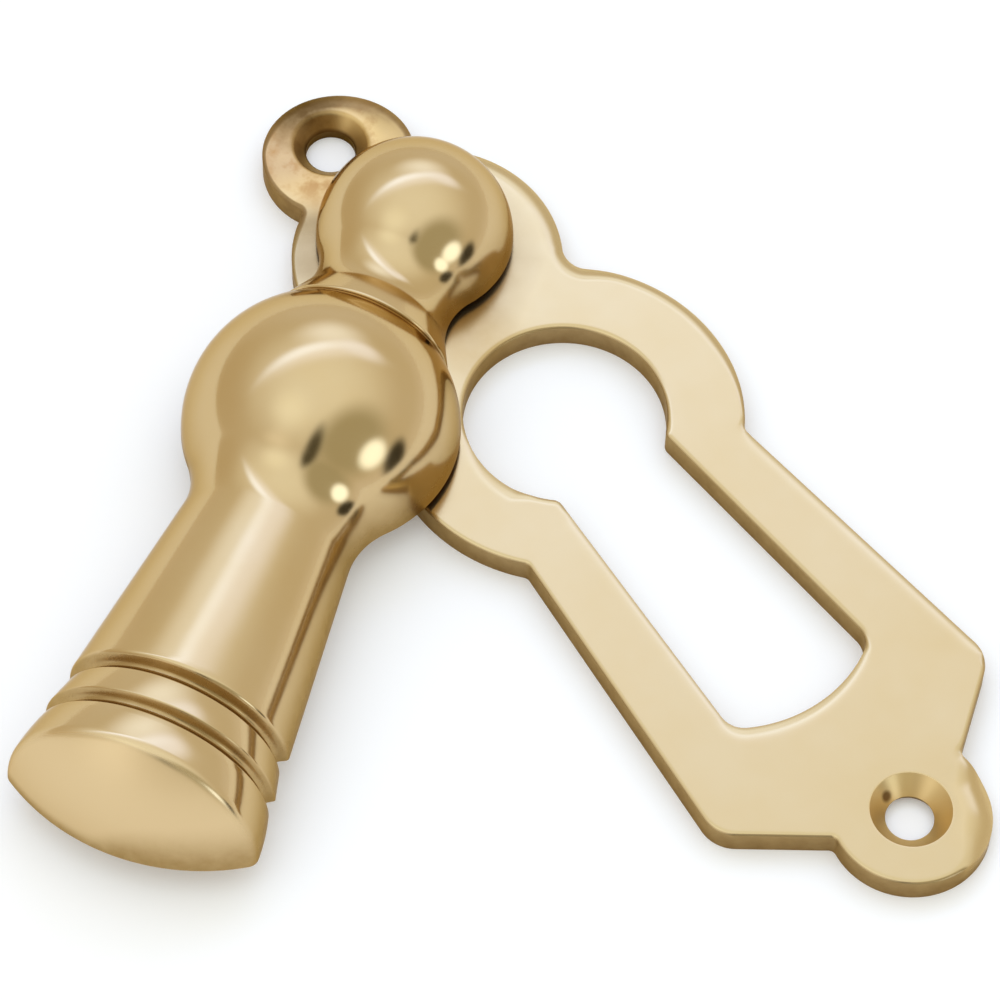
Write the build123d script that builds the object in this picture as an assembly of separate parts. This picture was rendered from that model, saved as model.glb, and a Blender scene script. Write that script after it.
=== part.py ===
from build123d import *
import os
from math import radians, sqrt, tan

# Keyhole escutcheon: a cast brass backplate, and a half-round cover that swings on a rivet.
# It lies on its back, with the cover swung open. The origin is midway between the two screw holes
# on the back face. +Z points out of the front, +Y towards the upper screw hole. Sizes are in mm.

# Backplate outline
hole_spacing = 66.0          # between the two screw holes
plate_thickness = 2.0
ear_radius = 5.45            # round ear about each screw hole
upper_ear_below_hole = 1.0   # upper ear's centre below its screw hole
boss_radius = 9.55           # round boss behind the pivot
boss_below_ear = 10.8        # boss centre below the upper ear's centre
lobe_radius = 12.4           # round lobe about the keyhole
lobe_below_boss = 16.2       # lobe and keyhole centre below the boss centre
skirt_top_half = 8.45        # skirt's half width at the lobe's centre
shoulder_half = 11.6         # skirt's half width at its shoulders
shoulder_above_hole = 6.05   # shoulders above the lower screw hole
point_below_hole = 2.65      # where the slanting sides below the shoulders would meet

# Rounding of the backplate's corners and edges
ear_notch_round = 0.5
boss_notch_round = 1.8
lobe_notch_round = 0.6
shoulder_round = 2.6
front_edge_round = 0.6
rim_round = 0.35

# Keyhole
keyhole_radius = 7.05
slot_top_half = 4.2          # slot's half width at the keyhole's centre
slot_end_half = 5.9          # slot's half width at its lower corners
slot_end_above_hole = 9.9    # slot's lowest point above the lower screw hole
slot_end_bow = 1.9           # depth of the slot's bowed end
slot_corner_round = 1.8
knuckle_round = 0.8          # where the slot meets the keyhole's round part

# Screw holes
screw_hole_radius = 1.65
countersink_radius = 2.75
countersink_angle = 82.0

# Pivot rivet
pivot_below_ear = 9.25       # pivot below the upper ear's centre
rivet_radius = 2.0
rivet_grip = 4.5             # length held in the cover
rivet_head_radius = 3.2
rivet_head_height = 1.0
rivet_head_recess = 0.1      # head's flat below the back face
bore_clearance = 0.05        # radial, about the rivet's shank
head_clearance = 0.08        # radial, about the rivet's head
running_gap = 0.6            # between the cover's back and the plate

# Cover, measured from the pivot along its length
swing_open = 57.5            # angle from closed
ball_radius = 6.95
neck_taper = 27.0            # angle of the neck's flare
neck_round = 2.3             # hollow between the ball and the neck
collar_radius = 6.55         # lip where the neck meets the knob
collar_before_knob = 7.2     # lip before the knob's centre
knob_radius = 9.6
knob_above_keyhole = 0.45    # knob's centre above the keyhole's centre, when closed
waist_radius = 6.08          # tail's radius where the knob ends
waist_round = 5.0            # hollow between the knob and the tail
tail_end_radius = 7.88
groove_width = 1.1
groove_depth = 0.5           # below the edge that follows the groove
groove_round = 0.25
ring_length = 2.0
ring_set_in = 0.2            # ring's small end inside the tail's edge
ring_flare = 0.54            # growth of the ring's radius along its length
band_length = 6.5            # as turned, before its end is domed
band_flare = 0.53            # growth of the end band's radius along its length
band_bow = 0.38              # bulge of the end band
dome_radius = 15.75
dome_drop = 1.55             # dome's centre below the cover's back
crease_round = 0.6           # edge between the end band and the dome
end_clearance = 0.25         # from the closed cover's end to the lower countersink

# Places that follow from the sizes
upper_hole_y = hole_spacing / 2
lower_hole_y = -hole_spacing / 2
upper_ear_y = upper_hole_y - upper_ear_below_hole
boss_y = upper_ear_y - boss_below_ear
keyhole_y = boss_y - lobe_below_boss
shoulder_y = lower_hole_y + shoulder_above_hole
slot_end_y = lower_hole_y + slot_end_above_hole
pivot_y = upper_ear_y - pivot_below_ear
cover_back_z = plate_thickness + running_gap
cover_end = pivot_y - lower_hole_y - countersink_radius - end_clearance
band_start = cover_end - band_length
ring_small_radius = tail_end_radius - ring_set_in
ring_large_radius = ring_small_radius + ring_flare
band_end_radius = ring_large_radius + band_flare
closed_heading = -90         # the closed cover points along -Y
half_turn = 180
upwards = (Align.CENTER, Align.CENTER, Align.MIN)


def face_of(*points):
    """A flat face with straight sides."""
    return make_face(Polyline(*points, close=True))


def corners_at(sketch, height):
    """The pair of corners, one each side of the centre line, nearest to a height."""
    return sketch.vertices().sort_by(lambda corner: abs(corner.Y - height))[:2]


def corner_near(sketch, x, y):
    """The corner nearest to a point."""
    return sketch.vertices().sort_by_distance((x, y, 0))[0]


# Backplate
def plate_outline():
    """Ears, boss, lobe and skirt in one, with rounded corners."""
    skirt = face_of(
        (-skirt_top_half, keyhole_y),
        (-shoulder_half, shoulder_y),
        (0, lower_hole_y - point_below_hole),
        (shoulder_half, shoulder_y),
        (skirt_top_half, keyhole_y),
    )
    outline = (
        skirt
        + Pos(0, keyhole_y) * Circle(lobe_radius)
        + Pos(0, boss_y) * Circle(boss_radius)
        + Pos(0, upper_ear_y) * Circle(ear_radius)
        + Pos(0, lower_hole_y) * Circle(ear_radius)
    )
    heights = [pair[0].Y for pair in outline.vertices().group_by(Axis.Y)]
    rounds = [ear_notch_round, shoulder_round, lobe_notch_round, boss_notch_round, ear_notch_round]
    for height, radius in zip(heights, rounds):
        outline = fillet(corners_at(outline, height), radius)
    return outline


def keyhole_outline():
    """A round part, and a slot that widens down to a bowed end."""
    corner_y = slot_end_y + slot_end_bow
    sides = Polyline(
        (-slot_end_half, corner_y),
        (-slot_top_half, keyhole_y),
        (slot_top_half, keyhole_y),
        (slot_end_half, corner_y),
    )
    end = ThreePointArc((-slot_end_half, corner_y), (0, slot_end_y), (slot_end_half, corner_y))
    slot = make_face(sides.edges() + end.edges())
    slot = fillet(corners_at(slot, corner_y), slot_corner_round)
    outline = slot + Pos(0, keyhole_y) * Circle(keyhole_radius)
    knuckle_y = outline.vertices().sort_by(Axis.Y)[-1].Y
    return fillet(corners_at(outline, knuckle_y), knuckle_round)


def screw_hole():
    """The space of a screw hole, countersunk from the front."""
    depth = (countersink_radius - screw_hole_radius) / tan(radians(countersink_angle / 2))
    shank = Cylinder(screw_hole_radius, plate_thickness, align=upwards)
    sink = Cone(screw_hole_radius, countersink_radius, depth, align=upwards)
    return shank + Pos(0, 0, plate_thickness - depth) * sink


def rivet_hole():
    """The space about the rivet in the backplate, countersunk from the back."""
    taper = (rivet_head_radius - rivet_radius) / rivet_head_height
    bore_radius = rivet_radius + bore_clearance
    mouth_radius = rivet_head_radius + head_clearance + taper * rivet_head_recess
    bore = Cylinder(bore_radius, plate_thickness, align=upwards)
    return bore + Cone(mouth_radius, bore_radius, (mouth_radius - bore_radius) / taper, align=upwards)


def make_backplate():
    plate = extrude(plate_outline(), plate_thickness)
    front = plate.faces().sort_by(Axis.Z)[-1]
    plate = fillet(front.outer_wire().edges(), front_edge_round)
    plate -= extrude(keyhole_outline(), plate_thickness)
    front = plate.faces().sort_by(Axis.Z)[-1]
    plate = fillet(front.inner_wires()[0].edges(), rim_round)
    for hole_y in (upper_hole_y, lower_hole_y):
        plate -= Pos(0, hole_y) * screw_hole()
    return plate - Pos(0, pivot_y) * rivet_hole()


# Cover
def cover_profile():
    """Half of the turned profile: X runs from the pivot to the end, Y is the radius."""
    knob = pivot_y - keyhole_y - knob_above_keyhole
    collar = knob - collar_before_knob
    ring_end = band_start - groove_width
    ring_start = ring_end - ring_length
    tail_end = ring_start - groove_width
    first_groove_radius = ring_small_radius - groove_depth
    second_groove_radius = ring_large_radius - groove_depth

    neck_root_radius = collar_radius - collar * tan(radians(neck_taper))
    neck = face_of((0, 0), (0, neck_root_radius), (collar, collar_radius), (collar, 0))
    tail_taper = (tail_end_radius - waist_radius) / (tail_end - knob - knob_radius)
    tail_root_radius = waist_radius - tail_taper * knob_radius
    tail = face_of((knob, 0), (knob, tail_root_radius), (tail_end, tail_end_radius), (tail_end, 0))
    ring = face_of(
        (tail_end, 0),
        (tail_end, first_groove_radius),
        (ring_start, first_groove_radius),
        (ring_start, ring_small_radius),
        (ring_end, ring_large_radius),
        (ring_end, second_groove_radius),
        (band_start, second_groove_radius),
        (band_start, 0),
    )
    band_top = SagittaArc((band_start, ring_large_radius), (cover_end, band_end_radius), band_bow)
    band_rest = Polyline(
        (cover_end, band_end_radius),
        (cover_end, 0),
        (band_start, 0),
        (band_start, ring_large_radius),
    )
    band = make_face(band_top.edges() + band_rest.edges())

    profile = Circle(ball_radius) + neck + Pos(knob, 0) * Circle(knob_radius) + tail + ring + band
    reach = ball_radius + cover_end
    profile &= Pos(-ball_radius, 0) * Rectangle(reach, reach, align=Align.MIN)
    corners = [
        (0, ball_radius, neck_round),
        (knob + knob_radius, waist_radius, waist_round),
        (tail_end, first_groove_radius, groove_round),
        (ring_start, first_groove_radius, groove_round),
        (ring_end, second_groove_radius, groove_round),
        (band_start, second_groove_radius, groove_round),
    ]
    for x, y, radius in corners:
        profile = fillet(corner_near(profile, x, y), radius)
    return profile


def end_waste():
    """The space that is cut away to dome the cover's end, which leans back towards its top."""
    centre = cover_end - sqrt(dome_radius**2 - dome_drop**2)
    width = 2 * dome_radius
    stock = Pos(centre, 0, 0) * Box(width, width, width, align=(Align.MIN, Align.CENTER, Align.CENTER))
    return stock - Pos(centre, 0, -dome_drop) * Sphere(dome_radius, rotation=(0, 0, half_turn))


def make_cover():
    """The half-round cover, swung open from where it hangs straight down."""
    cover = revolve(cover_profile(), Axis.X, revolution_arc=half_turn) - end_waste()
    crease = cover.edges().sort_by_distance((cover_end, 0, band_end_radius))[0]
    cover = fillet(crease, crease_round)
    cover -= Cylinder(rivet_radius, rivet_grip, align=upwards)
    return Pos(0, pivot_y, cover_back_z) * Rot(0, 0, closed_heading - swing_open) * cover


# Pivot rivet
def make_rivet():
    """The shank is fast in the cover, and the head turns in the backplate's countersink."""
    shank = Cylinder(rivet_radius, cover_back_z + rivet_grip - rivet_head_recess, align=upwards)
    head = Cone(rivet_head_radius, rivet_radius, rivet_head_height, align=upwards)
    return Pos(0, pivot_y, rivet_head_recess) * (shank + head)


os.makedirs("parts", exist_ok=True)
export_step(make_backplate(), "parts/backplate.step")
export_step(make_cover(), "parts/cover.step")
export_step(make_rivet(), "parts/pivot_rivet.step")
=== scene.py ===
from math import ceil, cos, pi, radians, sin, sqrt, tan

import bmesh
import bpy
import numpy as np
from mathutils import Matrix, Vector
from mathutils.geometry import delaunay_2d_cdt


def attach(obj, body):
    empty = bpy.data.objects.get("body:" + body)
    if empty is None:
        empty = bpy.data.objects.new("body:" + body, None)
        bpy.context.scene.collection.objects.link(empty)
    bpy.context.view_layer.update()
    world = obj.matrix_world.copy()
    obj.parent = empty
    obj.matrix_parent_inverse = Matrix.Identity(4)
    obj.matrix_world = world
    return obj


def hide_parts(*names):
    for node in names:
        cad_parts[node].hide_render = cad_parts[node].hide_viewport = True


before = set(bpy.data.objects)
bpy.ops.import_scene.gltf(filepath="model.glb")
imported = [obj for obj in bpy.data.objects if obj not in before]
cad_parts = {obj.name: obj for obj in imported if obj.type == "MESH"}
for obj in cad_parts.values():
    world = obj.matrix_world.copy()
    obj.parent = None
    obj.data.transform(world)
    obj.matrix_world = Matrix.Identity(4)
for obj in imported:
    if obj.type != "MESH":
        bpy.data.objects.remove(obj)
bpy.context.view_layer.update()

# The backplate and the cover are made again, finer and with the wear of the photographed ones.
# Their sizes and the camera's place are in mm. The stains and the floor are in metres.
MM = 0.001
HAIR = 0.01          # the new backplate stays this far inside the faceted solid's box
SHRINK = 0.999       # and the new cover is this much smaller, for the same reason
UP = np.array((0.0, 1.0))
DOWN = np.array((0.0, -1.0))
LEFT = np.array((-1.0, 0.0))

# Backplate, as in the solid
PLATE_THICKNESS = 2.0
EAR_RADIUS = 5.45
BOSS_RADIUS = 9.55
LOBE_RADIUS = 12.4
UPPER_HOLE = np.array((0.0, 33.0))
LOWER_HOLE = np.array((0.0, -33.0))
UPPER_EAR = np.array((0.0, 32.0))
BOSS = np.array((0.0, 21.2))
LOBE = np.array((0.0, 5.0))
SKIRT_TOP = np.array((8.45, 5.0))
SHOULDER = np.array((11.6, -26.95))
POINT = np.array((0.0, -35.65))
EAR_NOTCH_ROUND = 0.5
BOSS_NOTCH_ROUND = 1.8
LOBE_NOTCH_ROUND = 0.6
SHOULDER_ROUND = 2.6
KEYHOLE_RADIUS = 7.05
SLOT_TOP = np.array((4.2, 5.0))
SLOT_CORNER = np.array((5.9, -21.2))
SLOT_END_Y = -23.1
SLOT_CORNER_ROUND = 1.8
KNUCKLE_ROUND = 0.8
SCREW_HOLE_RADIUS = 1.65
COUNTERSINK_RADIUS = 2.75
COUNTERSINK_HALF_ANGLE = radians(41)
COUNTERSINK_DEPTH = (COUNTERSINK_RADIUS - SCREW_HOLE_RADIUS) / tan(COUNTERSINK_HALF_ANGLE)
PIVOT = np.array((0.0, 22.75))
BORE_RADIUS = 2.05
BORE_MOUTH_RADIUS = 3.4
BORE_MOUTH_TAPER = 1.2           # radius lost over its depth
BORE_MOUTH_DEPTH = (BORE_MOUTH_RADIUS - BORE_RADIUS) / BORE_MOUTH_TAPER

# Cover: along its length from the pivot, and out from its axis. As in the solid, apart from rounds.
SWING = radians(-147.5)
COVER_BACK_Z = 2.6
BALL_RADIUS = 6.95
NECK_ROUND = 4.0
LIP = np.array((10.1, 6.55))
NECK_TAPER = radians(27)
NECK_DIRECTION = np.array((cos(NECK_TAPER), sin(NECK_TAPER)))
KNOB = np.array((17.3, 0.0))
KNOB_RADIUS = 9.6
WAIST = np.array((26.9, 6.08))
WAIST_ROUND = 5.0
TAIL_END = np.array((42.05, 7.88))
RING_START = np.array((43.15, 7.68))
RING_END = np.array((45.15, 8.22))
BAND_START = np.array((46.25, 8.22))
BAND_END = np.array((52.75, 8.75))
BAND_BOW = 0.38
GROOVE_FLOOR = np.array((-0.55, -0.85))    # from the edge after the groove
GROOVE_ROUND = 0.4
LIP_ROUND = 0.2
CRISP_ROUND = 0.15
SOFT_ROUND = 0.35
DOME_RADIUS = 15.75
DOME_DROP = 1.55
CREASE_ROUND = 0.9
CREASE_HALF_TURN = radians(29)
RIVET_RADIUS = 2.0
RIVET_GRIP = 4.5

# Fineness of the meshes
OUTLINE_STEP = 0.22
CORNER_STEP = OUTLINE_STEP / 3
SIDE_STEP = 2 * OUTLINE_STEP
OUTER_ROLL_STEPS = 12
RIM_ROLL_STEPS = 9
HOLE_POINTS = 96
BORE_POINTS = 64
HOLE_RIM_STEPS = 8
PROFILE_STEP = 0.2
HOLLOW_STEP = 0.1
TRUMPET_STEP = 0.6
ROUND_STEP = 0.06
BAND_POINTS = 22
CREASE_POINTS = 8
DOME_POINTS = 44
TURN_POINTS = 181
HALVINGS = 50
SAME_POINT = 1e-7


# Plane curves: each is a run of points with the outward direction at each point
def unit(vector):
    return vector / np.linalg.norm(vector)


def angle_of(vector):
    return np.arctan2(vector[1], vector[0])


def left_of(direction):
    return np.array((-direction[1], direction[0]))


def arc(centre, radius, start, stop, step, hollow=False):
    """Points round a centre, from one direction to another: clockwise unless it is hollow."""
    start, stop, turn = angle_of(start), angle_of(stop), 2 * pi
    span = (stop - start) % turn if hollow else -((start - stop) % turn)
    count = max(3, ceil(abs(span) * radius / step))
    angles = start + span * np.linspace(0, 1, count + 1)
    out = np.stack((np.cos(angles), np.sin(angles)), 1)
    return centre + radius * out, -out if hollow else out


def line(start, stop, step):
    count = max(1, ceil(np.linalg.norm(stop - start) / step))
    shares = np.linspace(0, 1, count + 1)[:, None]
    out = left_of(unit(stop - start))
    return start + shares * (stop - start), np.repeat(out[None], count + 1, 0)


def between_circles(upper, upper_radius, lower, lower_radius):
    """Where two circles on the centre line meet, on the right."""
    apart = upper[1] - lower[1]
    down = (upper_radius**2 - lower_radius**2 + apart**2) / (2 * apart)
    return np.array((sqrt(upper_radius**2 - down**2), upper[1] - down))


def along_to_circle(start, direction, centre, radius, far=True):
    """Where a line meets a circle, at its far or its near side."""
    to_foot = (centre - start) @ direction
    foot = start + to_foot * direction
    half = sqrt(radius**2 - np.sum((centre - foot) ** 2))
    return foot + (half if far else -half) * direction


def join(pieces):
    """One run from several, without the points that they share."""
    points = [p[:-1] for p, _ in pieces[:-1]] + [pieces[-1][0]]
    outs = [n[:-1] for _, n in pieces[:-1]] + [pieces[-1][1]]
    return np.concatenate(points), np.concatenate(outs)


def both_sides(*run):
    """A closed loop from its right half, which starts and ends on the centre line."""
    flip = np.array((-1, 1))
    return [np.concatenate((half, half[-2:0:-1] * flip)) for half in run]


def plate_outline():
    ear_notch = between_circles(
        UPPER_EAR, EAR_RADIUS + EAR_NOTCH_ROUND, BOSS, BOSS_RADIUS + EAR_NOTCH_ROUND
    )
    boss_notch = between_circles(
        BOSS, BOSS_RADIUS + BOSS_NOTCH_ROUND, LOBE, LOBE_RADIUS + BOSS_NOTCH_ROUND
    )
    side, slant = unit(SHOULDER - SKIRT_TOP), unit(POINT - SHOULDER)
    side_out, slant_out = left_of(side), left_of(slant)
    lobe_notch = along_to_circle(
        SKIRT_TOP + LOBE_NOTCH_ROUND * side_out, side, LOBE, LOBE_RADIUS + LOBE_NOTCH_ROUND
    )
    inset = np.linalg.solve(np.stack((side_out, slant_out)), np.full(2, SHOULDER_ROUND))
    corner = SHOULDER - inset
    lower_notch = along_to_circle(
        SHOULDER + EAR_NOTCH_ROUND * slant_out,
        slant,
        LOWER_HOLE,
        EAR_RADIUS + EAR_NOTCH_ROUND,
        far=False,
    )
    side_start = lobe_notch - LOBE_NOTCH_ROUND * side_out
    side_end = corner + SHOULDER_ROUND * side_out
    slant_start = corner + SHOULDER_ROUND * slant_out
    slant_end = lower_notch - EAR_NOTCH_ROUND * slant_out
    step, fine = OUTLINE_STEP, CORNER_STEP
    pieces = [
        arc(UPPER_EAR, EAR_RADIUS, UP, ear_notch - UPPER_EAR, step),
        arc(ear_notch, EAR_NOTCH_ROUND, UPPER_EAR - ear_notch, BOSS - ear_notch, fine, True),
        arc(BOSS, BOSS_RADIUS, ear_notch - BOSS, boss_notch - BOSS, step),
        arc(boss_notch, BOSS_NOTCH_ROUND, BOSS - boss_notch, LOBE - boss_notch, fine, True),
        arc(LOBE, LOBE_RADIUS, boss_notch - LOBE, lobe_notch - LOBE, step),
        arc(lobe_notch, LOBE_NOTCH_ROUND, LOBE - lobe_notch, -side_out, fine, True),
        line(side_start, side_end, SIDE_STEP),
        arc(corner, SHOULDER_ROUND, side_out, slant_out, fine),
        line(slant_start, slant_end, SIDE_STEP),
        arc(lower_notch, EAR_NOTCH_ROUND, -slant_out, LOWER_HOLE - lower_notch, fine, True),
        arc(LOWER_HOLE, EAR_RADIUS, lower_notch - LOWER_HOLE, DOWN, step),
    ]
    return both_sides(*join(pieces))


def keyhole_outline():
    side = unit(SLOT_CORNER - SLOT_TOP)
    side_out = left_of(side)
    knuckle = along_to_circle(
        SLOT_TOP + KNUCKLE_ROUND * side_out, side, LOBE, KEYHOLE_RADIUS + KNUCKLE_ROUND
    )
    bow = SLOT_CORNER[1] - SLOT_END_Y
    bow_radius = (SLOT_CORNER[0] ** 2 + bow**2) / (2 * bow)
    bow_centre = np.array((0.0, SLOT_END_Y + bow_radius))
    corner = along_to_circle(
        SLOT_TOP - SLOT_CORNER_ROUND * side_out, side, bow_centre, bow_radius - SLOT_CORNER_ROUND
    )
    side_start = knuckle - KNUCKLE_ROUND * side_out
    side_end = corner + SLOT_CORNER_ROUND * side_out
    step, fine = OUTLINE_STEP, CORNER_STEP
    pieces = [
        arc(LOBE, KEYHOLE_RADIUS, UP, knuckle - LOBE, step),
        arc(knuckle, KNUCKLE_ROUND, LOBE - knuckle, -side_out, fine, True),
        line(side_start, side_end, SIDE_STEP),
        arc(corner, SLOT_CORNER_ROUND, side_out, corner - bow_centre, fine),
        arc(bow_centre, bow_radius, corner - bow_centre, DOWN, step),
    ]
    return both_sides(*join(pieces))


def round_loop(centre, radius, count):
    angles = np.linspace(0, -2 * pi, count, endpoint=False)
    return centre + radius * np.stack((np.cos(angles), np.sin(angles)), 1)


def smooth(low, high, value):
    """0 below low, 1 above high, and an even slope between."""
    share = np.clip((value - low) / (high - low), 0, 1)
    return share * share * (3 - 2 * share)


class Shell:
    """Vertices in mm, faces, and for each vertex how unpolished (on the cover's flanks also painted
    shade) and how satin it is.
    """

    def __init__(self):
        self.points, self.faces, self.unpolished, self.satin = [], [], [], []

    def add(self, point, unpolished, satin):
        self.points.append(point)
        self.unpolished.append(unpolished)
        self.satin.append(satin)
        return len(self.points) - 1

    def loop(self, flat, z, unpolished=0.0, satin=0.0):
        columns = [np.broadcast_to(value, len(flat)) for value in (z, unpolished, satin)]
        rows = zip(flat, *columns)
        return [self.add((x, y, height), *finish) for (x, y), height, *finish in rows]

    def bridge(self, lower, upper):
        for i in range(len(lower)):
            j = (i + 1) % len(lower)
            self.faces.append((lower[i], lower[j], upper[j], upper[i]))

    def fill(self, rims):
        """A face inside the first rim and outside the others."""
        names = [i for rim in rims for i in rim]
        places = {name: k for k, name in enumerate(names)}
        flat = np.array([self.points[i][:2] for i in names])
        edges = [(places[a], places[b]) for rim in rims for a, b in zip(rim, rim[1:] + rim[:1])]
        corners = [Vector(p) for p in flat]
        _, _, triangles, sources, _, _ = delaunay_2d_cdt(corners, edges, [], 1, SAME_POINT)
        triangles = np.array([[sources[k][0] for k in triangle] for triangle in triangles])
        x, y = flat[triangles].mean(1).T[:, :, None]
        (ax, ay), (bx, by) = flat[np.array(edges)].transpose(1, 2, 0)
        level = ay == by
        crossing = ax + (y - ay) * (bx - ax) / np.where(level, 1, by - ay)
        hits = ((ay > y) != (by > y)) & (x < crossing)
        for triangle in triangles[hits.sum(1) % 2 == 1]:
            self.faces.append([names[k] for k in triangle])

    def build(self, name, crease):
        mesh = bpy.data.meshes.new(name)
        mesh.from_pydata(np.array(self.points) * MM, [], self.faces)
        work = bmesh.new()
        work.from_mesh(mesh)
        bmesh.ops.recalc_face_normals(work, faces=work.faces)
        work.to_mesh(mesh)
        work.free()
        mesh.shade_smooth()
        mesh.set_sharp_from_angle(angle=crease)
        for finish, values in (("unpolished", self.unpolished), ("satin", self.satin)):
            attribute = mesh.attributes.new(finish, "FLOAT", "POINT")
            attribute.data.foreach_set("value", np.array(values, np.float32))
        piece = bpy.data.objects.new(name, mesh)
        bpy.context.scene.collection.objects.link(piece)
        return piece


# Backplate: its front edges are worn to a roll, which is widest where the buffing wheel came from
BUFFED_FROM = np.array((0.6, 0.8))
CRISP_SLOPE = radians(46)        # of a roll at its outer end, where it isn't buffed
GENTLE_SLOPE = radians(22)
STEEP_SLOPE = radians(37)
STEEP_FACING = (0.75, 0.97)      # how far an edge faces the wheel where its roll grows steep
SIDE_STEEPER = 0.5               # at the lower ear's side
PLAIN_ROLL = 0.3                 # width of the roll along the outer edge
BUFFED_ROLL = 1.25               # added where it faces the wheel
EAR_ROLL_LOSS = 0.35             # of that on the upper ear
SIDE_ROLL = 1.6                  # added at the lower ear's side
WIDEST_ROLL = 2.1
LOBE_WIDEST_ROLL = 0.95
BOSS_NARROWEST_ROLL = 1.4
PLAIN_RIM = 0.35                 # the same along the keyhole
KNUCKLE_Y = -0.3
KNUCKLE_WIDEST_ROLL = 0.6
KNUCKLE_REACH = (0.8, 3.4)
ROLL_REACH = 0.7                 # widths are evened out over this length
RIM_REACH = 0.5
BUFFED_WIDTH = (0.35, 0.75)      # width at which a roll counts as buffed
FLAT_WIDTH = 0.12                # of the flat that a roll ends in
CRISP_DULLNESS = 0.7
CRISP_SHARE = (0, 0.4)           # of the roll's width
EAR_DULLNESS = 0.95              # dull brown on the upper ear's roll, all round its outer part and across it where it faces up
EAR_SHARE = (0.6, 1)
EAR_SATIN = 0.6
LOWER_EAR_SATIN = 0.2
PLATE_CREASE = radians(32)

# Where parts of the backplate start and end, each as the Y or X between which they fade
UPPER_EAR_FROM_Y = (27, 29)
BOSS_FROM_Y = (14.5, 17)
BOSS_FROM_X = (3, 6)
LOBE_FROM_Y = (-3, 0.5)
LOBE_TO_Y = (12, 15)
KEYHOLE_FROM_Y = (0, 2.5)
LOWER_EAR_FROM_Y = (-32, -34)
LOWER_EAR_SIDE = np.array((0.91, -0.42))
LOWER_EAR_SIDE_FROM = (0.3, 0.9)

# Screw holes: the upper one is worn, wider and a little to one side in its depth
UPPER_HOLE_LEAN = np.array((0.12, 0.18))
LEAN_HEIGHT = (0.4, 1.8)
CONE_FOOT = np.array((0.02, 0.023))
HOLE_FLAT_WIDTH = 0.1


def at_upper_ear(points):
    """1 on the upper ear, and 0 on the rest of the plate."""
    return smooth(*UPPER_EAR_FROM_Y, points[:, 1])


def at_lower_ear_side(points):
    """1 on the lower ear's right side, which is worn round, and 0 on the rest of the plate."""
    around = (points - LOWER_HOLE) @ LOWER_EAR_SIDE / EAR_RADIUS
    return smooth(*LOWER_EAR_FROM_Y, points[:, 1]) * smooth(*LOWER_EAR_SIDE_FROM, around)


def evened(values, points, reach):
    """Values along a closed loop, evened out over a distance."""
    steps = np.linalg.norm(np.roll(points, -1, 0) - points, axis=1)
    places = np.cumsum(steps) - steps
    apart = abs(places[:, None] - places)
    apart = np.minimum(apart, steps.sum() - apart)
    weights = np.exp(-((apart / reach) ** 2)) * (steps + np.roll(steps, 1))
    return weights @ values / weights.sum(1)


def outer_roll(points, outs):
    """Along the outer edge: the roll's width, how evenly it bends, and how steep it is."""
    x, y = points.T
    ear = at_upper_ear(points)
    side = at_lower_ear_side(points)
    above_skirt = smooth(*LOBE_FROM_Y, y)
    lobe = above_skirt * (1 - smooth(*LOBE_TO_Y, y))
    boss_side = smooth(*BOSS_FROM_Y, y) * (1 - ear) * smooth(*BOSS_FROM_X, x)
    facing = np.clip(outs @ BUFFED_FROM, 0, 1)
    width = PLAIN_ROLL + (BUFFED_ROLL - EAR_ROLL_LOSS * ear) * facing + SIDE_ROLL * side
    width = np.minimum(width, WIDEST_ROLL)
    width = width - np.maximum(width - LOBE_WIDEST_ROLL, 0) * lobe
    width = width + np.maximum(BOSS_NARROWEST_ROLL - width, 0) * boss_side
    even = evened(np.maximum(above_skirt, side), points, ROLL_REACH)
    steep = np.maximum(even, smooth(*STEEP_FACING, evened(facing, points, ROLL_REACH)))
    return evened(width, points, ROLL_REACH), even, steep + SIDE_STEEPER * side


def rim_roll(points, outs):
    """The same along the keyhole, where it is narrower at the knuckles beside its slot."""
    facing = np.clip(-outs @ BUFFED_FROM, 0, 1)
    y = points[:, 1]
    room = KNUCKLE_WIDEST_ROLL + smooth(*KNUCKLE_REACH, abs(y - KNUCKLE_Y))
    width = np.minimum(evened(PLAIN_RIM + facing, points, RIM_REACH), room)
    return width, smooth(*KEYHOLE_FROM_Y, y), np.zeros(len(points))


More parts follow.
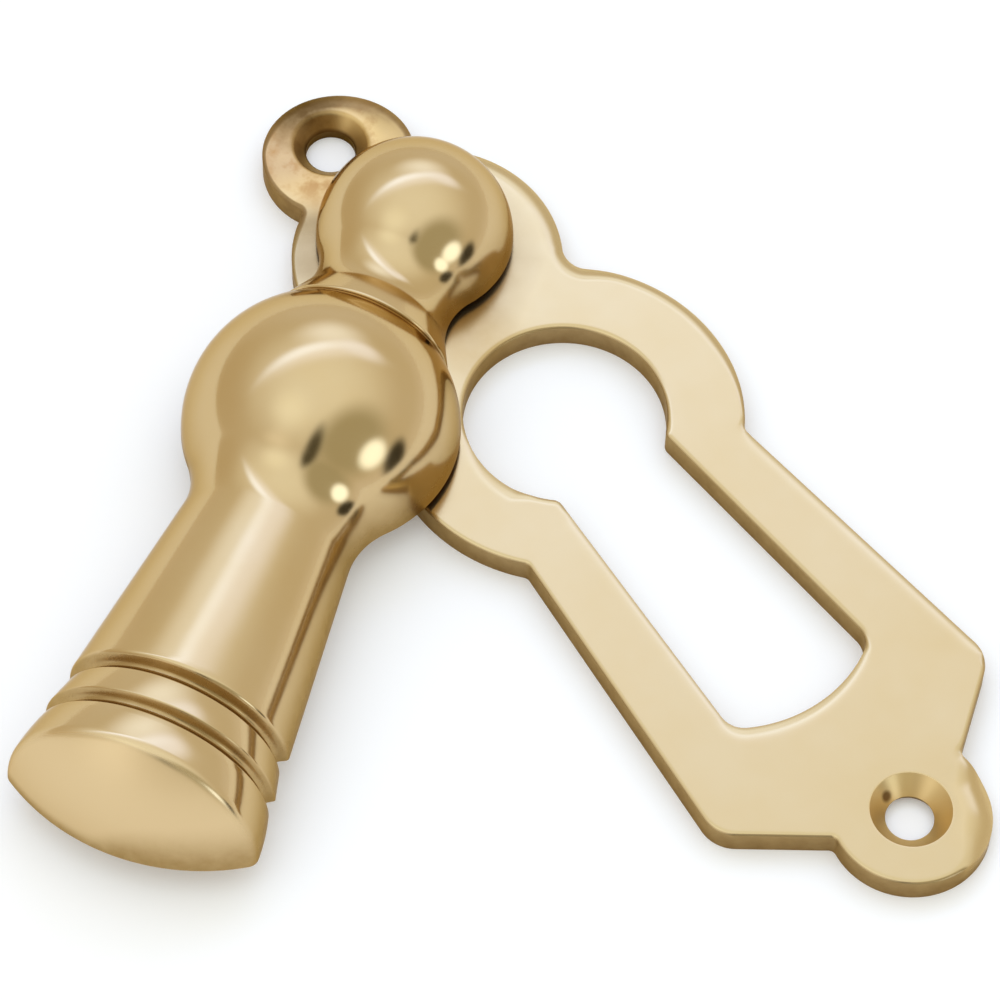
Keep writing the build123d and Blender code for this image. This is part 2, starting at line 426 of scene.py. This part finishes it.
def rolled_edge(shell, points, outs, width, even, steep, inward, steps):
    """A wall, the roll at its front edge, and a narrow flat; gives the back and front rims."""
    ear = at_upper_ear(points)
    facing = evened(np.clip(-inward * outs @ BUFFED_FROM, 0, 1), points, ROLL_REACH)
    satin = np.maximum(EAR_SATIN * ear, LOWER_EAR_SATIN * at_lower_ear_side(points))
    buffed = smooth(*BUFFED_WIDTH, width) * (1 - ear)
    steepest = GENTLE_SLOPE + (STEEP_SLOPE - GENTLE_SLOPE) * steep
    steepest = CRISP_SLOPE + (steepest - CRISP_SLOPE) * buffed
    back_rim = shell.loop(points, 0, 1)
    rim = back_rim
    shares = np.linspace(0, 1, steps + 1)
    power = 1 + buffed * (1 - even)
    slopes = np.tan(steepest[:, None] * (1 - shares) ** power[:, None])
    rises = (slopes[:, 1:] + slopes[:, :-1]) / 2 / steps
    drops = np.append(np.cumsum(rises[:, ::-1], 1)[:, ::-1], np.zeros((len(points), 1)), 1)
    for share, drop in zip(shares, drops.T):
        moved = points + inward * (share * width)[:, None] * outs
        crisp = CRISP_DULLNESS * (1 - buffed) * (1 - smooth(*CRISP_SHARE, share))
        brown = EAR_DULLNESS * (1 - smooth(*EAR_SHARE, share) * (1 - facing))
        dull = crisp + (brown - crisp) * ear
        upper = shell.loop(moved, PLATE_THICKNESS - width * drop, dull, satin)
        shell.bridge(rim, upper)
        rim = upper
    flat = points + inward * (width + FLAT_WIDTH)[:, None] * outs
    flat_rim = shell.loop(flat, PLATE_THICKNESS, EAR_DULLNESS * facing * ear, satin)
    shell.bridge(rim, flat_rim)
    return back_rim, flat_rim


def hole_profile(wear, wider, flare, dull, satin):
    """Radius, height and finish up a screw hole's wall, cone and worn rim, to the face about it."""
    top = PLATE_THICKNESS
    cone_start = top - COUNTERSINK_DEPTH
    slope = np.arctan(COUNTERSINK_DEPTH / (COUNTERSINK_RADIUS - SCREW_HOLE_RADIUS))
    centre_r, centre_z = COUNTERSINK_RADIUS + wear * tan(slope / 2), top - wear
    bore = SCREW_HOLE_RADIUS + wider
    foot_r, foot_z = CONE_FOOT + (bore, cone_start)
    profile = [(bore + flare, 0, 1), (bore, cone_start, 1), (foot_r, foot_z, dull, 1)]
    for share in np.linspace(0, 1, HOLE_RIM_STEPS + 1):
        turn = slope * (1 - share)
        finish = (dull * (1 - share), 1 + (satin - 1) * share)
        profile.append((centre_r - wear * sin(turn), centre_z + wear * cos(turn), *finish))
    profile.append((centre_r + HOLE_FLAT_WIDTH, top, 0, satin))
    return profile


def round_hole(shell, centre, profile, count, lean=np.zeros(2)):
    """A hole from radius, height and finish, leaning to one side at its back; gives its rims."""
    rims = []
    for radius, height, *finish in profile:
        middle = centre + lean * (1 - smooth(*LEAN_HEIGHT, height))
        rims.append(shell.loop(round_loop(middle, radius, count), height, *finish))
    for lower, upper in zip(rims, rims[1:]):
        shell.bridge(lower, upper)
    return rims[0], rims[-1]


def make_backplate():
    shell = Shell()
    points, outs = plate_outline()
    roll = outer_roll(points, outs)
    rims = [rolled_edge(shell, points - HAIR * outs, outs, *roll, -1, OUTER_ROLL_STEPS)]
    points, outs = keyhole_outline()
    rims.append(rolled_edge(shell, points, outs, *rim_roll(points, outs), 1, RIM_ROLL_STEPS))
    worn = hole_profile(wear=0.5, wider=0.12, flare=0, dull=0.1, satin=EAR_SATIN)
    rims.append(round_hole(shell, UPPER_HOLE, worn, HOLE_POINTS, UPPER_HOLE_LEAN))
    crisp = hole_profile(wear=0.08, wider=-0.03, flare=0.3, dull=0.05, satin=0)
    rims.append(round_hole(shell, LOWER_HOLE, crisp, HOLE_POINTS))
    bore = [
        (BORE_MOUTH_RADIUS, 0, 1),
        (BORE_RADIUS, BORE_MOUTH_DEPTH, 1),
        (BORE_RADIUS, PLATE_THICKNESS, 1),
    ]
    rims.append(round_hole(shell, PIVOT, bore, BORE_POINTS))
    back_rims, front_rims = zip(*rims)
    shell.fill(front_rims)
    shell.fill(back_rims)
    return shell.build("backplate_visual", PLATE_CREASE)


# Cover: a turned profile, swept through a half turn, with a domed end that leans back
FLANK_HEIGHT = 3.0               # below this the cover's sides turn dull and darker: partly unbuffed, partly painted shade
FLANK_LEAN = 0.6                 # and the painted shade reaches higher on the side that faces the keyhole
FLANK_DULLNESS_AND_SHADE = 0.85
GROOVE_DULLNESS = 0.7
GROOVE_ENTRY = np.array((-0.1, 0.1))       # about a groove's edge, where it grows dull
GROOVE_EXIT = np.array((-0.15, 0.05))      # and about its other edge, where it ends
TRUMPET_STOP = 0.6               # before the tail's edge, where its round starts
BAND_LEAD = np.array((0.3, 0.09))
BAND_BOW_START = 0.35
COVER_CREASE = radians(38)


def rounded(corners):
    """A path through corners, given as point and round, with a curve at each."""
    path = [corners[0][0]]
    for (before, _), (corner, radius), (after, _) in zip(corners, corners[1:], corners[2:]):
        into, out = unit(corner - before), unit(after - corner)
        turn = np.arccos(np.clip(into @ out, -1, 1))
        back = radius * tan(turn / 2)
        count = max(3, ceil(turn * radius / ROUND_STEP))
        for share in np.linspace(0, 1, count + 1):
            a, b = corner - back * into * (1 - share), corner + back * out * share
            path.append(a * (1 - share) + b * share)
    return np.array(path + [corners[-1][0]])


def turned_profile():
    """The profile from the ball's end to where the end band starts."""
    neck_out = left_of(NECK_DIRECTION)
    neck_hollow = along_to_circle(
        LIP + NECK_ROUND * neck_out, NECK_DIRECTION, np.zeros(2), BALL_RADIUS + NECK_ROUND
    )
    tail = unit(TAIL_END - WAIST)
    tail_out = left_of(tail)
    waist_hollow = along_to_circle(
        WAIST + WAIST_ROUND * tail_out, tail, KNOB, KNOB_RADIUS + WAIST_ROUND
    )
    lip_x = LIP[0] - KNOB[0]
    lip_foot = KNOB + np.array((lip_x, sqrt(KNOB_RADIUS**2 - lip_x**2)))
    step = PROFILE_STEP
    ball, _ = arc(np.zeros(2), BALL_RADIUS, LEFT, neck_hollow, step)
    hollow, _ = arc(neck_hollow, NECK_ROUND, -neck_hollow, -neck_out, HOLLOW_STEP, True)
    lip = rounded([(hollow[-1], 0), (LIP, LIP_ROUND), (lip_foot, 0)])
    knob, _ = arc(KNOB, KNOB_RADIUS, lip_foot - KNOB, waist_hollow - KNOB, step)
    waist, _ = arc(waist_hollow, WAIST_ROUND, KNOB - waist_hollow, -tail_out, step, True)
    trumpet, _ = line(waist[-1], TAIL_END - TRUMPET_STOP * tail, TRUMPET_STEP)
    end = rounded([
        (trumpet[-1], 0),
        (TAIL_END, SOFT_ROUND),
        (RING_START + GROOVE_FLOOR, GROOVE_ROUND),
        (RING_START, CRISP_ROUND),
        (RING_END, CRISP_ROUND),
        (BAND_START + GROOVE_FLOOR, GROOVE_ROUND),
        (BAND_START, CRISP_ROUND),
        (BAND_START + BAND_LEAD, 0),
    ])
    return np.concatenate([run[1:] for run in (ball, hollow, lip, knob, waist, trumpet, end)])


def band_height(x):
    """Radius of the bowed end band."""
    chord = BAND_END - BAND_START
    half = np.linalg.norm(chord) / 2
    radius = (half**2 + BAND_BOW**2) / (2 * BAND_BOW)
    middle = (BAND_START + BAND_END) / 2
    centre = middle - left_of(chord / (2 * half)) * (radius - BAND_BOW)
    return centre[1] + np.sqrt(radius**2 - (x - centre[0]) ** 2)


def end_profile(turn):
    """The band and the dome at one angle round the axis, and how satin they are."""
    centre_x = BAND_END[0] - sqrt(DOME_RADIUS**2 - DOME_DROP**2)
    centre_r = -DOME_DROP * sin(turn)
    radius = sqrt(DOME_RADIUS**2 - DOME_DROP**2 + centre_r**2)
    low, high = BAND_START[0], BAND_END[0]
    for _ in range(HALVINGS):
        x = (low + high) / 2
        dome_height = centre_r + sqrt(max(radius**2 - (x - centre_x) ** 2, 0))
        low, high = (x, high) if band_height(x) < dome_height else (low, x)
    crease = np.array((x, band_height(x)))
    trim = CREASE_ROUND * tan(CREASE_HALF_TURN)
    xs = np.linspace(BAND_START[0] + BAND_BOW_START, x - trim, BAND_POINTS)
    band = np.stack((xs, band_height(xs)), 1)
    centre = np.array((centre_x, centre_r))
    start = angle_of(crease - centre) - trim / radius
    stop = angle_of(np.array((BAND_END[0], 0)) - centre)
    angles = np.linspace(start, stop, DOME_POINTS)
    dome = centre + radius * np.stack((np.cos(angles), np.sin(angles)), 1)
    t = np.linspace(0, 1, CREASE_POINTS)[1:-1, None]
    fillet = (1 - t) ** 2 * band[-1] + 2 * t * (1 - t) * crease + t**2 * dome[0]
    satin = np.concatenate((np.zeros(len(band)), t[:, 0], np.ones(len(dome) - 1)))
    return np.concatenate((band, fillet, dome[:-1])), satin


def on_cover(x, radius, turn):
    """A place on the swung cover from its length, radius and angle; 0 is the keyhole's side."""
    x, radius = x * SHRINK, radius * SHRINK
    y, z = radius * np.cos(turn), radius * np.sin(turn)
    swung_x = x * cos(SWING) - y * sin(SWING)
    swung_y = x * sin(SWING) + y * cos(SWING)
    return (swung_x, swung_y + PIVOT[1], z + COVER_BACK_Z)


def groove_share(x, start, stop):
    """1 along a groove and 0 away from it."""
    return smooth(*(start + GROOVE_ENTRY), x) * (1 - smooth(*(stop + GROOVE_EXIT), x))


def make_cover():
    shell = Shell()
    body = turned_profile()
    grooves = groove_share(body[:, 0], TAIL_END[0], RING_START[0])
    grooves += groove_share(body[:, 0], RING_END[0], BAND_START[0])
    grid = []
    for turn in np.linspace(0, pi, TURN_POINTS):
        end_part, end_satin = end_profile(turn)
        row = np.concatenate((body, end_part))
        # Low on the flanks the brass turns dull and darker: partly unbuffed sides, partly painted
        # shade, reaching higher on the keyhole's side.
        flank = FLANK_HEIGHT * (1 + FLANK_LEAN * cos(turn))
        dull = FLANK_DULLNESS_AND_SHADE * (1 - smooth(0, flank, row[:, 1] * sin(turn)))
        in_groove = np.concatenate((GROOVE_DULLNESS * grooves, np.zeros(len(end_part))))
        dull = np.maximum(dull, in_groove)
        satin = np.concatenate((np.zeros(len(body)), end_satin))
        finished = zip(row, dull, satin)
        grid.append([shell.add(on_cover(x, r, turn), *finish) for (x, r), *finish in finished])
    tip = shell.add(on_cover(-BALL_RADIUS, 0, 0), FLANK_DULLNESS_AND_SHADE, 0)
    end = shell.add(on_cover(BAND_END[0], 0, 0), FLANK_DULLNESS_AND_SHADE, 1)
    for left, right in zip(grid, grid[1:]):
        shell.faces.append((tip, left[0], right[0]))
        shell.faces.append((end, left[-1], right[-1]))
        for k in range(len(left) - 1):
            shell.faces.append((left[k], left[k + 1], right[k + 1], right[k]))
    rim = [tip] + grid[0] + [end] + grid[-1][::-1]
    circle = round_loop(PIVOT, RIVET_RADIUS, BORE_POINTS)
    mouth = shell.loop(circle, COVER_BACK_Z, 1)
    floor = shell.loop(circle, COVER_BACK_Z + RIVET_GRIP, 1)
    shell.bridge(mouth, floor)
    shell.fill([rim, mouth])
    shell.faces.append(floor)
    return shell.build("cover_visual", COVER_CREASE)


# Materials
BRASS = (0.6, 0.445, 0.238)
DOME_BRASS = (0.69, 0.52, 0.29)
SATIN_BRASS = (0.6, 0.455, 0.243)
CONE_BRASS = (0.7, 0.51, 0.24)
BROWN = (0.26, 0.16, 0.066)
# This old gold is the grooves' patina and the rivet's colour, and also the painted shade low on the
# cover's flanks.
OLD_GOLD = (0.32, 0.195, 0.062)
EDGE_TINT = (0.74, 0.62, 0.44)
WARMTH = (0.97, 0.94, 0.86)      # of the faint clouds in the polish
LINE_STRETCH = (0.1, 1, 1)       # of the polishing lines
LINE_DEPTH = 0.00001
WAVE_DEPTH = 0.00004
WAVE_STRENGTH = 0.5
NOISE_ROUGHNESS = 0.6
MIX_SOCKETS = {"RGBA": (6, 7, 2), "FLOAT": (2, 3, 0)}    # a mix node's two inputs and its output

# Stains and painted shade and sheen: middle, where it ends and where it is full, colour, levels of
# its spots, least share
EVEN = (0.3, 0.6)
SPOTTED = (0.5, 0.66)
PLATE_TARNISH_AND_SHADE = (
    # The first two are painted shade on the plate beside the cover's ball and neck; the rest are
    # tarnish on the upper ear and in its screw hole.
    ((-0.0062, 0.0265, 0.002), 0.0045, 0.002, (0.39, 0.275, 0.13), EVEN, 0.8),
    ((-0.0015, 0.0134, 0.002), 0.0042, 0.0012, (0.5, 0.345, 0.15), EVEN, 0.7),
    ((0, 0.0335, 0.002), 0.0074, 0.0045, (0.6, 0.388, 0.15), EVEN, 0.6),
    ((-0.0036, 0.0343, 0.002), 0.0034, 0.001, (0.5, 0.322, 0.148), EVEN, 0.5),
    ((0.0042, 0.032, 0.002), 0.0028, 0.0008, (0.66, 0.44, 0.16), EVEN, 0.6),
    ((0, 0.0335, 0.002), 0.0075, 0.003, (0.42, 0.22, 0.07), SPOTTED, 0),
    ((0, 0.033, 0.001), 0.0034, 0.0024, (0.5, 0.33, 0.125), EVEN, 0.6),
    ((-0.0017, 0.0351, 0.0018), 0.0019, 0.0006, (0.3, 0.17, 0.06), EVEN, 0.5),
)
PLATE_DARK_SPOTS = (
    # Darker at the upper ear's top edge and deep in its screw hole, and a small dark pit in the
    # lower countersink.
    ((0.0005, 0.0375, 0.0012), 0.004, 0.0015, (0.13, 0.07, 0.022), EVEN, 0.6),
    ((0.0001, 0.0332, 0.0003), 0.0021, 0.0018, (0.11, 0.055, 0.016), EVEN, 0.8),
    ((-0.0004, -0.031, 0.0012), 0.00055, 0.0002, (0.2, 0.115, 0.045), EVEN, 0.9),
)
NECK_PAINTED_SHEEN = (
    # Painted sheen: a slightly lighter, yellower patch on the neck's flank on the keyhole's side.
    ((-0.003, 0.015, 0.004), 0.0038, 0.0015, (0.62, 0.455, 0.225), EVEN, 0.8),
)


def add_node(tree, kind, **values):
    """A node with its settings and unlinked inputs set by name."""
    node = tree.nodes.new(kind)
    for key, value in values.items():
        if hasattr(node, key):
            setattr(node, key, value)
        else:
            node.inputs[key.replace("_", " ")].default_value = value
    return node


def noise(tree, place, scale, detail, low, high, to_low=0.0, to_high=1.0):
    """Noise between two levels, spread to a new range."""
    cloud = add_node(
        tree, "ShaderNodeTexNoise", Scale=scale, Detail=detail, Roughness=NOISE_ROUGHNESS
    )
    tree.links.new(place, cloud.inputs["Vector"])
    spread = add_node(
        tree, "ShaderNodeMapRange", From_Min=low, From_Max=high, To_Min=to_low, To_Max=to_high
    )
    tree.links.new(cloud.outputs["Fac"], spread.inputs["Value"])
    return spread.outputs["Result"]


def eased(tree, value, start, stop):
    """0 at the start and 1 at the stop, with soft ends."""
    step = add_node(tree, "ShaderNodeMapRange", From_Min=start, From_Max=stop)
    step.interpolation_type = "SMOOTHSTEP"
    tree.links.new(value, step.inputs["Value"])
    return step.outputs["Result"]


def times(tree, first, second):
    product = add_node(tree, "ShaderNodeMath", operation="MULTIPLY")
    for socket, value in zip(product.inputs, (first, second)):
        tree.links.new(value, socket)
    return product.outputs[0]


def blended(tree, share, first, second, kind="RGBA"):
    """A mix of two sockets, colours or numbers by a share."""
    mix = add_node(tree, "ShaderNodeMix", data_type=kind)
    *sockets, result = MIX_SOCKETS[kind]
    tree.links.new(share, mix.inputs[0])
    for socket, value in zip(sockets, (first, second)):
        if isinstance(value, bpy.types.NodeSocket):
            tree.links.new(value, mix.inputs[socket])
        else:
            mix.inputs[socket].default_value = (*value, 1) if kind == "RGBA" else value
    return mix.outputs[result]


def stained_and_painted(tree, place, tint, stains_and_painted_light):
    """A colour with patchy stains, painted shade and painted sheen over it."""
    for centre, reach, full, patch_colour, spots, least in stains_and_painted_light:
        away = add_node(tree, "ShaderNodeVectorMath", operation="DISTANCE")
        away.inputs[1].default_value = centre
        tree.links.new(place, away.inputs[0])
        near = eased(tree, away.outputs["Value"], reach, full)
        low, high = spots
        patches = noise(tree, place, scale=420, detail=4, low=low, high=high, to_low=least)
        tint = blended(tree, times(tree, near, patches), tint, patch_colour)
    return tint


def brass(name, colours, glosses, heading, scratch, tarnish_and_painted_light=(), dark_spots=()):
    """Brass with faint clouds and polishing lines, in polished, satin and unpolished finish, with
    stains, painted shade and painted sheen over it.
    """
    colour, satin_colour, dull_and_shade_colour = colours
    gloss, satin_gloss, dull_gloss = glosses
    material = bpy.data.materials.new(name)
    material.use_nodes = True
    tree = material.node_tree
    link = tree.links.new
    shader = tree.nodes["Principled BSDF"]
    shader.inputs["Metallic"].default_value = 1
    shader.inputs["Specular Tint"].default_value = (*EDGE_TINT, 1)
    place = add_node(tree, "ShaderNodeTexCoord").outputs["Object"]
    unpolished = add_node(tree, "ShaderNodeAttribute", attribute_name="unpolished").outputs["Fac"]
    satin = add_node(tree, "ShaderNodeAttribute", attribute_name="satin").outputs["Fac"]

    warm = [c * k for c, k in zip(colour, WARMTH)]
    clouds = noise(tree, place, scale=110, detail=4, low=0.35, high=0.75)
    tint = blended(tree, clouds, colour, warm)
    tint = blended(tree, satin, tint, satin_colour)
    sharpest, softest = gloss * 0.9, gloss * 1.2
    roughness = noise(tree, place, 260, 2, 0.3, 0.75, to_low=sharpest, to_high=softest)
    roughness = blended(tree, satin, roughness, satin_gloss, "FLOAT")
    patches = noise(tree, place, scale=900, detail=5, low=0.3, high=0.7, to_low=0.75)
    dull = times(tree, unpolished, patches)
    tint = blended(tree, dull, stained_and_painted(tree, place, tint, tarnish_and_painted_light), dull_and_shade_colour)
    link(stained_and_painted(tree, place, tint, dark_spots), shader.inputs["Base Color"])
    link(blended(tree, dull, roughness, dull_gloss, "FLOAT"), shader.inputs["Roughness"])

    lines = add_node(tree, "ShaderNodeMapping", Rotation=(0, 0, -heading), Scale=LINE_STRETCH)
    link(place, lines.inputs["Vector"])
    marks = noise(tree, lines.outputs["Vector"], scale=900, detail=2, low=0, high=1)
    waves = noise(tree, place, scale=90, detail=1, low=0, high=1)
    wavy = add_node(tree, "ShaderNodeBump", Strength=WAVE_STRENGTH, Distance=WAVE_DEPTH)
    link(waves, wavy.inputs["Height"])
    bump = add_node(tree, "ShaderNodeBump", Strength=scratch, Distance=LINE_DEPTH)
    link(marks, bump.inputs["Height"])
    link(wavy.outputs["Normal"], bump.inputs["Normal"])
    link(bump.outputs["Normal"], shader.inputs["Normal"])
    return material


plate_brass = brass(
    "plate_brass",
    colours=(SATIN_BRASS, CONE_BRASS, BROWN),
    glosses=(0.17, 0.36, 0.45),
    heading=radians(-60),
    scratch=0.08,
    tarnish_and_painted_light=PLATE_TARNISH_AND_SHADE,
    dark_spots=PLATE_DARK_SPOTS,
)
cover_brass = brass(
    "cover_brass",
    colours=(BRASS, DOME_BRASS, OLD_GOLD),
    glosses=(0.12, 0.36, 0.36),
    heading=SWING,
    scratch=0.05,
    tarnish_and_painted_light=NECK_PAINTED_SHEEN,
)
rivet_brass = brass(
    "rivet_brass",
    colours=(OLD_GOLD, OLD_GOLD, BROWN),
    glosses=(0.38, 0.38, 0.45),
    heading=0,
    scratch=0.2,
)

backplate = make_backplate()
backplate.data.materials.append(plate_brass)
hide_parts("backplate")
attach(backplate, "fixed_plate")

cover = make_cover()
cover.data.materials.append(cover_brass)
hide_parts("cover")
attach(cover, "swinging_cover")

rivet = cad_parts["pivot_rivet"]
rivet.data.materials.clear()
rivet.data.materials.append(rivet_brass)


# Floor and light
FLOOR_REACH = 4.0
FLOOR_COLOUR = (0.885, 0.87, 0.845)
FLOOR_ROUGHNESS = 0.9
FLOOR_GLOW = 0.16                # makes up for the white that the paint takes away
TENT_LOW = (0.85, 0.82, 0.72)
TENT_HIGH = (1.23, 1.32, 1.39)
TENT_RISE = (0.35, 1.1)          # heights, as the sine of the elevation
TENT_FOOT = (0.95, 0.935, 0.9)
TENT_FOOT_RISE = (0.22, 0)
PATCH_FRONT = (0, 0.3)           # keeps a patch on its own half of the tent

# Patches: middle and an end as azimuth and elevation, half length, half width, softness, colour
TENT_PATCHES = (
    ((126, 10), (160, 10), 38, 16, 0.7, (0.77, 0.7, 0.55)),
    ((45, 8), (90, 8), 30, 13, 0.7, (0.91, 0.91, 0.9)),
    ((191, 13), (205, 13), 11, 25, 0.7, (1.38, 1.43, 1.48)),
    ((178, 62), (195, 62), 12, 12, 0.9, (1.36, 1.48, 1.57)),
    ((47, 37), (80, 37), 15, 10, 0.9, (1.42, 1.62, 2.1)),
    ((270, 39), (305, 39), 30, 25, 0.35, (0.6, 0.59, 0.47)),
    ((226.5, 40), (236, 57), 19, 5.5, 0.5, (0.09, 0.085, 0.055)),
    ((295.5, 6.5), (307, 11), 13, 8, 0.35, (0.04, 0.035, 0.02)),
    ((281, 21.5), (292, 23.5), 12, 9.5, 0.35, (2.0, 2.35, 2.85)),
    ((56, 57.5), (100, 55), 30, 6, 0.8, (1.38, 1.54, 2.02)),
    ((20, 41.5), (40, 47), 14, 6.5, 0.6, (1.42, 1.62, 2.35)),
    ((72, 53.5), (112, 46.5), 27, 3.8, 0.8, (1.7, 2.08, 3.25)),
)


def direction(azimuth, elevation):
    a, e = radians(azimuth), radians(elevation)
    return Vector((cos(a) * cos(e), sin(a) * cos(e), sin(e)))


def make_floor():
    """A white floor, which keeps its white where the camera or the metal looks at it."""
    r = FLOOR_REACH
    mesh = bpy.data.meshes.new("floor")
    mesh.from_pydata([(-r, -r, 0), (r, -r, 0), (r, r, 0), (-r, r, 0)], [], [(0, 1, 2, 3)])
    floor = bpy.data.objects.new("floor", mesh)
    bpy.context.scene.collection.objects.link(floor)
    material = bpy.data.materials.new("floor_white")
    material.use_nodes = True
    tree = material.node_tree
    link = tree.links.new
    paint = tree.nodes["Principled BSDF"]
    paint.inputs["Base Color"].default_value = (*FLOOR_COLOUR, 1)
    paint.inputs["Roughness"].default_value = FLOOR_ROUGHNESS
    paint.inputs["Specular IOR Level"].default_value = 0
    paint.inputs["Emission Color"].default_value = (1, 1, 1, 1)
    path = add_node(tree, "ShaderNodeLightPath")
    seen = path.outputs["Is Camera Ray"]
    for ray in ("Is Glossy Ray", "Is Transmission Ray"):
        either = add_node(tree, "ShaderNodeMath", operation="MAXIMUM")
        link(seen, either.inputs[0])
        link(path.outputs[ray], either.inputs[1])
        seen = either.outputs[0]
    glow = add_node(tree, "ShaderNodeMapRange", To_Max=FLOOR_GLOW)
    link(seen, glow.inputs["Value"])
    link(glow.outputs["Result"], paint.inputs["Emission Strength"])
    floor.data.materials.append(material)


def make_world():
    """A pale tent, whiter overhead, with the lamps and dark things that polished brass mirrors."""
    world = bpy.data.worlds.new("tent")
    bpy.context.scene.world = world
    world.use_nodes = True
    tree = world.node_tree
    link = tree.links.new
    toward = add_node(tree, "ShaderNodeTexCoord").outputs["Generated"]

    def along(aim):
        """How far the direction looked in goes along a vector."""
        dot = add_node(tree, "ShaderNodeVectorMath", operation="DOT_PRODUCT")
        dot.inputs[1].default_value = aim
        link(toward, dot.inputs[0])
        return dot.outputs["Value"]

    height = along((0, 0, 1))
    colour = blended(tree, eased(tree, height, *TENT_RISE), TENT_LOW, TENT_HIGH)
    colour = blended(tree, eased(tree, height, *TENT_FOOT_RISE), colour, TENT_FOOT)
    for middle, end, half_length, half_width, edge, tone in TENT_PATCHES:
        middle, end = direction(*middle), direction(*end)
        side = (end - end.dot(middle) * middle).normalized()
        flat = add_node(tree, "ShaderNodeCombineXYZ")
        link(along(side / sin(radians(half_length))), flat.inputs["X"])
        link(along(middle.cross(side) / sin(radians(half_width))), flat.inputs["Y"])
        reach = add_node(tree, "ShaderNodeVectorMath", operation="LENGTH")
        link(flat.outputs[0], reach.inputs[0])
        inside = eased(tree, reach.outputs["Value"], 1 + edge, 1 - edge)
        share = times(tree, inside, eased(tree, along(middle), *PATCH_FRONT))
        colour = blended(tree, share, colour, tone)
    link(colour, tree.nodes["Background"].inputs["Color"])


make_floor()
make_world()

# Camera, where the photograph was taken from
CAMERA_PLACE = (-112.36, -132.75, 279.48)
CAMERA_TURN = (31.554, -0.949, -36.274)      # in degrees
SENSOR_WIDTH = 36
LENS = 172.28                                # with the sensor, from the camera fitted to the photo

data = bpy.data.cameras.new("camera")
data.sensor_width = SENSOR_WIDTH
data.lens = LENS
camera = bpy.data.objects.new("camera", data)
camera.location = Vector(CAMERA_PLACE) * MM
camera.rotation_euler = [radians(angle) for angle in CAMERA_TURN]
bpy.context.scene.collection.objects.link(camera)
bpy.context.scene.camera = camera
bpy.context.scene.view_settings.view_transform = "Standard"
